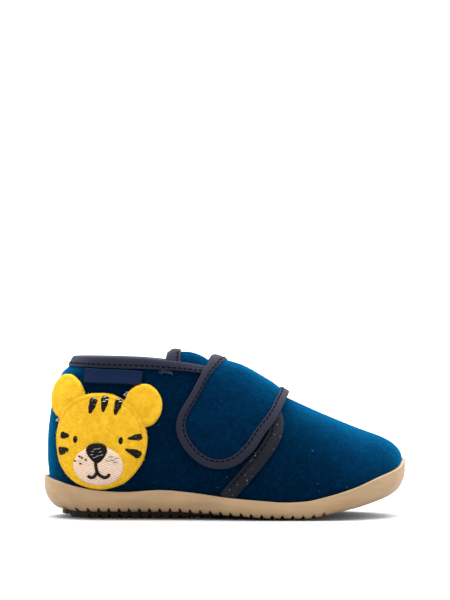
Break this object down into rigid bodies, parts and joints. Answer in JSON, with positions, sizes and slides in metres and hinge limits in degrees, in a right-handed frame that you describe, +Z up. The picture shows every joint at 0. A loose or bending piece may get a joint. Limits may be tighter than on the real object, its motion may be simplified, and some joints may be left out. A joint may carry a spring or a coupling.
{
  "type": "child's strap slipper",
  "caption": "Child's felt slipper for the right foot with a gum rubber cup sole, a bound instep strap, a tongue and an animal-head patch sewn on the outer heel.",
  "frame": {"origin": "centre of the bounding box at the floor, under the middle of the sole", "axes": "+X towards the toe, -Y to the wearer's outer (lateral) side, +Z up from the floor"},
  "size_m": [0.164, 0.0666, 0.0761],
  "materials": {
    "rubber_gum": "smooth gum rubber, satin",
    "felt_lining": "plain felt",
    "felt_blue": "napped wool felt",
    "tape_slate": "ribbed binding tape",
    "ribbon_navy": "woven ribbon, slight sheen",
    "felt_yellow": "napped wool felt",
    "thread_pale": "satin-stitch embroidery"
  },
  "bodies": {
    "root": {"sole": "rubber_gum", "insole": "felt_lining", "upper": "felt_blue", "tongue": "felt_blue", "tongue_binding": "tape_slate", "collar_binding": "tape_slate", "front_binding_lateral": "tape_slate", "front_binding_medial": "tape_slate", "strap": "felt_blue", "strap_binding": "tape_slate", "label_tab": "ribbon_navy", "tiger_head": "felt_yellow", "ear_front": "felt_yellow", "ear_back": "felt_yellow", "muzzle": "thread_pale"}
  },
  "joints": []
}
